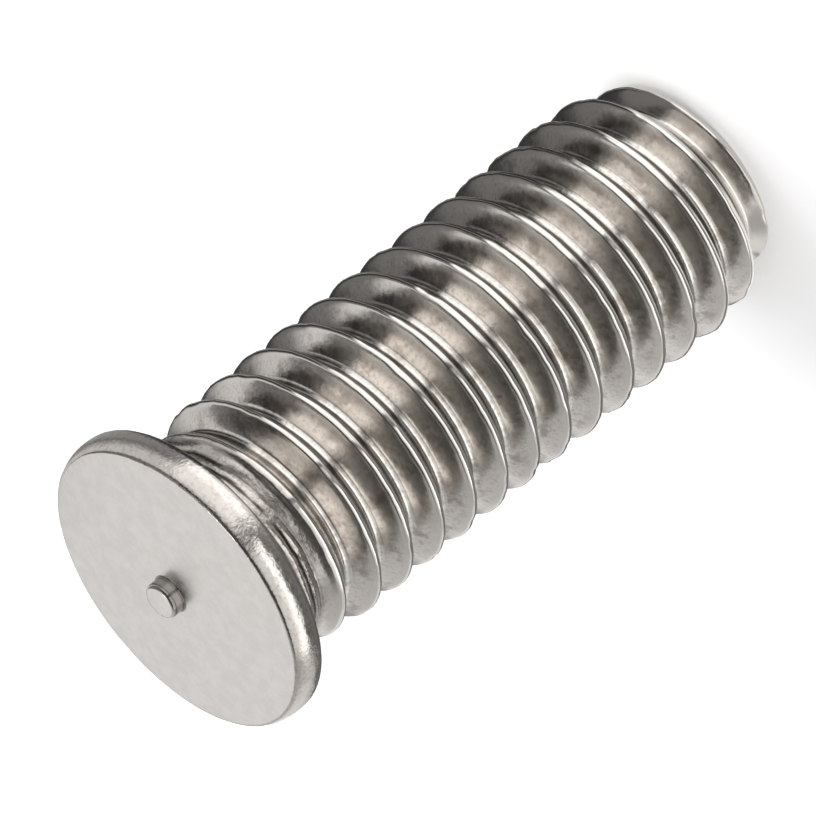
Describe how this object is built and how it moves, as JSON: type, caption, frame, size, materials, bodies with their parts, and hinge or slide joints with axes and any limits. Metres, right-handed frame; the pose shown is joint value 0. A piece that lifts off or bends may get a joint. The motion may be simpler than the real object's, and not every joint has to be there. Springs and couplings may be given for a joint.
{
  "type": "weld stud",
  "caption": "Capacitor-discharge weld stud: a threaded round shank with a thin flange at one end and a small ignition tip in the middle of its weld face.",
  "frame": {"origin": "middle of the flat threaded end, which the stud stands on", "axes": "+Z along the stud's axis, from the threaded end up to the flange, the weld face and the ignition tip"},
  "size_m": [0.0074, 0.0074, 0.0167],
  "materials": {
    "stainless_steel": "bright, as rolled"
  },
  "bodies": {
    "root": {"weld_stud": "stainless_steel"}
  },
  "joints": []
}
